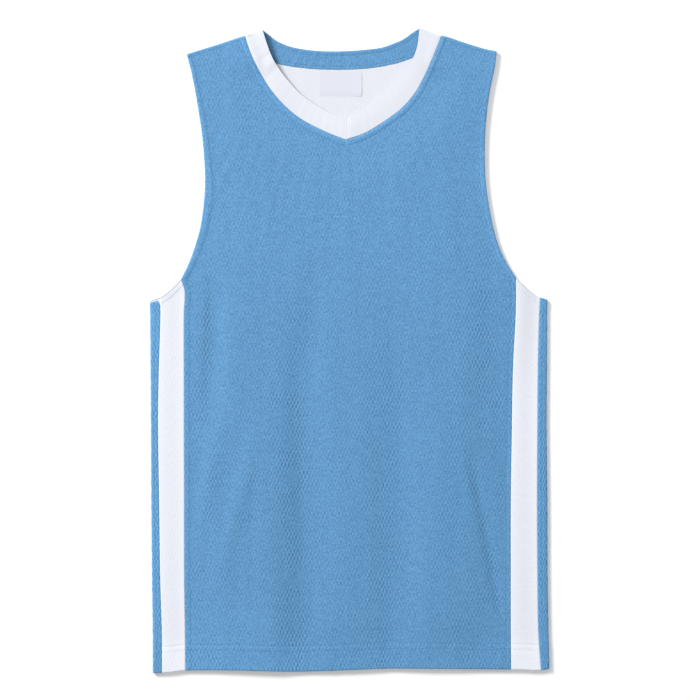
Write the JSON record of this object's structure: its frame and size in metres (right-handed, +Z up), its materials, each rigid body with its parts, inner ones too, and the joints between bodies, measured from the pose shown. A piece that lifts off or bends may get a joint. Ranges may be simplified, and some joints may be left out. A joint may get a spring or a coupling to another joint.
{
  "type": "basketball jersey laid flat",
  "caption": "Sleeveless V-neck jersey of light blue mesh with a white collar and white side stripes, laid flat with its front up.",
  "frame": {"origin": "centre of the outline, on the surface that the jersey rests on", "axes": "+X across the jersey to the right as seen from above, +Y from the hem to the shoulders, +Z up, out of the front"},
  "size_m": [0.4838, 0.7822, 0.0081],
  "materials": {
    "blue_mesh": "matte polyester mesh knit, light blue",
    "white_mesh": "matte polyester mesh knit, white",
    "white_rib": "matte polyester flat rib, white",
    "label_cloth": "smooth woven tape, white, bare"
  },
  "bodies": {
    "root": {"front_panel": "blue_mesh", "back_panel": "blue_mesh", "side_panel_left": "blue_mesh", "side_panel_right": "blue_mesh", "neck_band_back": "blue_mesh", "stripe_front_left": "white_mesh", "stripe_front_right": "white_mesh", "stripe_back_left": "white_mesh", "stripe_back_right": "white_mesh", "back_lining": "white_mesh", "collar_front_left": "white_rib", "collar_front_right": "white_rib", "collar_back": "white_rib", "neck_label": "label_cloth"}
  },
  "joints": []
}
